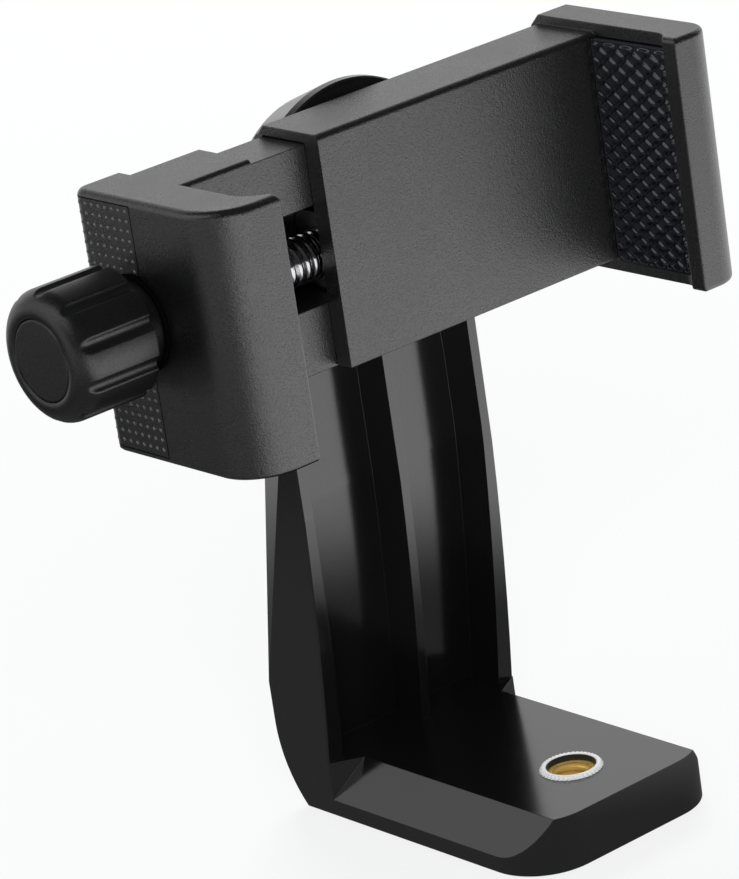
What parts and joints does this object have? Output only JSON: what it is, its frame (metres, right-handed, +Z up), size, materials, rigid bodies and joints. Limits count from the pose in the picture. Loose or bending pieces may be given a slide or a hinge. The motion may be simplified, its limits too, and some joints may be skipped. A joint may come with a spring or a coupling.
{
  "type": "tripod phone mount adapter",
  "caption": "Black tripod adapter for a phone: a foot with a threaded bush, an upright, and a turning clamp bar with a fixed jaw and a screw-driven moving jaw.",
  "frame": {"origin": "on the tripod thread's axis, at the underside of the foot", "axes": "+X along the clamp bar towards the fixed jaw, +Y to the back, away from the phone, +Z up"},
  "size_m": [0.0943, 0.0502, 0.0964],
  "materials": {
    "bracket": "fine grain",
    "tripod_insert": "machined",
    "friction_disc": "smooth",
    "pivot_screw": "zinc plated",
    "pivot_washer": "zinc plated",
    "pivot_spring_washer": "spring steel",
    "clamp_body": "fine grain",
    "fixed_jaw_pad": "matte",
    "clamp_nut": "zinc plated",
    "sliding_jaw": "fine grain",
    "sliding_jaw_pad": "matte",
    "retaining_clip": "plain",
    "clamp_screw": "polished",
    "thrust_washer": "smooth",
    "knob": "fine grain",
    "knob_cap": "satin"
  },
  "bodies": {
    "base": {"bracket": "bracket", "tripod_insert": "tripod_insert", "friction_disc": "friction_disc"},
    "clamp": {"clamp_body": "clamp_body", "fixed_jaw_pad": "fixed_jaw_pad", "clamp_nut": "clamp_nut", "pivot_screw": "pivot_screw", "pivot_washer": "pivot_washer", "pivot_spring_washer": "pivot_spring_washer"},
    "jaw": {"sliding_jaw": "sliding_jaw", "sliding_jaw_pad": "sliding_jaw_pad", "retaining_clip": "retaining_clip"},
    "knob": {"knob": "knob", "knob_cap": "knob_cap", "clamp_screw": "clamp_screw", "thrust_washer": "thrust_washer"}
  },
  "joints": [
    {"name": "head_swivel", "type": "hinge", "parent": "base", "child": "clamp", "pos_m": [0, 0.03, 0.0799], "axis": [0, 1, 0], "range_deg": [-2, 182]},
    {"name": "jaw_slide", "type": "slide", "parent": "clamp", "child": "jaw", "axis": [-1, 0, 0], "range_m": [-0.006, 0.027]},
    {"name": "knob_turn", "type": "hinge", "parent": "jaw", "child": "knob", "pos_m": [-0.05, 0.0201, 0.0783], "axis": [-1, 0, 0], "range_deg": [-1705, 7660]}
  ],
  "couplings": [
    {"joint": "knob_turn", "follows": "jaw_slide", "rad_per_m": 4947.4}
  ]
}
